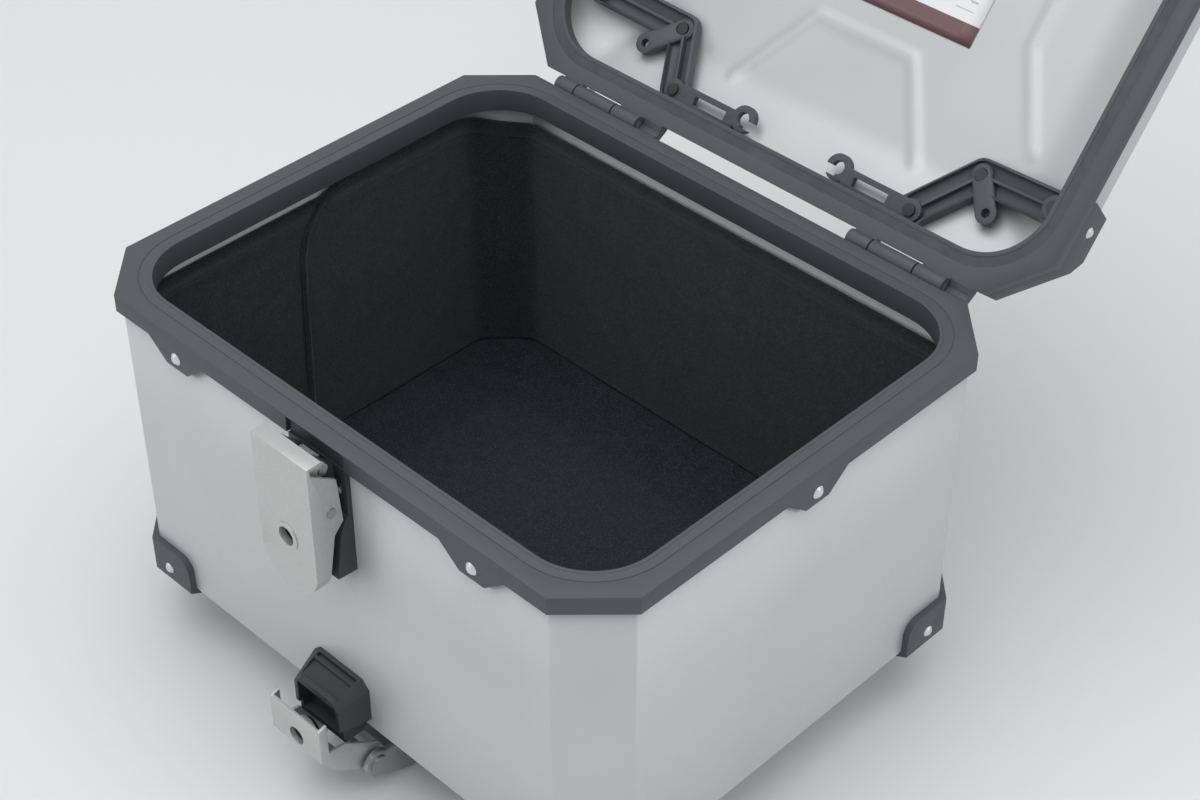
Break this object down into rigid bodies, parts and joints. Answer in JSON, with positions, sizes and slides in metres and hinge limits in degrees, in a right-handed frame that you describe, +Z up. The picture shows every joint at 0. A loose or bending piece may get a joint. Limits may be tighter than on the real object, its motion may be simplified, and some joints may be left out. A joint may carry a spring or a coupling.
{
  "type": "motorcycle top case",
  "caption": "Bevelled aluminium top case with a plastic rim, an openable hinged lid, a lockable lid latch and a lockable lever that clamps it to a luggage rack",
  "frame": {"origin": "centre of the case on the ground plane under its rubber feet", "axes": "+X to the right seen from the latch side, -Y the latch side, +Y the hinge side, +Z up"},
  "size_m": [0.4338, 0.6335, 0.5455],
  "materials": {
    "aluminium_sheet": "satin anodised sheet",
    "rim_plastic": "fine moulded grain",
    "black_plastic": "moulded grain",
    "rivet_metal": "smooth",
    "steel": "zinc plated",
    "lever_metal": "silver painted die casting",
    "lock_metal": "black satin",
    "dark_screw": "black zinc",
    "soft_rubber": "matte",
    "felt": "needled felt",
    "label_film": "white film"
  },
  "bodies": {
    "case": {"body_shell": "aluminium_sheet", "rim_frame": "rim_plastic", "rim_rivets": "rivet_metal", "corner_protector_front_left": "rim_plastic", "corner_protector_front_right": "rim_plastic", "corner_protector_back_left": "rim_plastic", "corner_protector_back_right": "rim_plastic", "protector_rivets": "rivet_metal", "base_plate": "black_plastic", "rubber_feet": "soft_rubber", "base_screws": "steel", "rack_tongues": "steel", "latch_bracket": "steel", "bracket_screws": "steel", "lower_latch_housing": "black_plastic", "lower_pivot_pin": "steel", "upper_latch_base": "black_plastic", "upper_pivot_pins": "steel", "latch_rivets": "rivet_metal", "hinge_pin_left": "steel", "hinge_pin_right": "steel", "liner_floor": "felt", "liner_front": "felt", "liner_back": "felt"},
    "rack_lever": {"lower_lever": "lever_metal"},
    "rack_lock": {"lower_lock_cylinder": "lock_metal"},
    "hook": {"rack_hook": "steel"},
    "lid_latch": {"upper_lever": "lever_metal", "claw_pin": "steel"},
    "lid_lock": {"upper_lock_cylinder": "lock_metal"},
    "claw": {"latch_claw": "steel"},
    "lid": {"lid_shell": "aluminium_sheet", "lid_frame": "rim_plastic", "lid_seal": "soft_rubber", "lid_guard_front_left": "rim_plastic", "lid_guard_front_right": "rim_plastic", "lid_guard_back_left": "rim_plastic", "lid_guard_back_right": "rim_plastic", "guard_rivets": "rivet_metal", "lid_brace_front_left": "rim_plastic", "lid_brace_front_right": "rim_plastic", "lid_brace_back_left": "rim_plastic", "lid_brace_back_right": "rim_plastic", "brace_screws": "dark_screw", "lid_label": "label_film", "lid_striker": "steel", "striker_rivets": "rivet_metal"}
  },
  "joints": [
    {"name": "lid_hinge", "type": "hinge", "parent": "case", "child": "lid", "pos_m": [0, 0.179, 0.2685], "axis": [1, 0, 0], "range_deg": [0, 130]},
    {"name": "lid_latch_hinge", "type": "hinge", "parent": "case", "child": "lid_latch", "pos_m": [0, -0.183, 0.2617], "axis": [1, 0, 0], "range_deg": [-55, 0]},
    {"name": "claw_hinge", "type": "hinge", "parent": "lid_latch", "child": "claw", "pos_m": [0, -0.1837, 0.2343], "axis": [1, 0, 0], "range_deg": [0, 20]},
    {"name": "lid_lock_turn", "type": "hinge", "parent": "lid_latch", "child": "lid_lock", "pos_m": [0, -0.19, 0.2117], "axis": [0, -1, 0], "range_deg": [0, 90]},
    {"name": "rack_lever_hinge", "type": "hinge", "parent": "case", "child": "rack_lever", "pos_m": [0, -0.169, 0.023], "axis": [1, 0, 0], "range_deg": [-12, 50]},
    {"name": "rack_lock_turn", "type": "hinge", "parent": "rack_lever", "child": "rack_lock", "pos_m": [0, -0.199, 0.056], "axis": [0, -1, 0], "range_deg": [0, 90]},
    {"name": "hook_slide", "type": "slide", "parent": "case", "child": "hook", "axis": [0, -1, 0], "range_m": [-0.0016, 0.0063]}
  ],
  "couplings": [
    {"joint": "claw_hinge", "follows": "lid_latch_hinge", "ratio": -0.35},
    {"joint": "hook_slide", "follows": "rack_lever_hinge", "m_per_rad": 0.007}
  ]
}
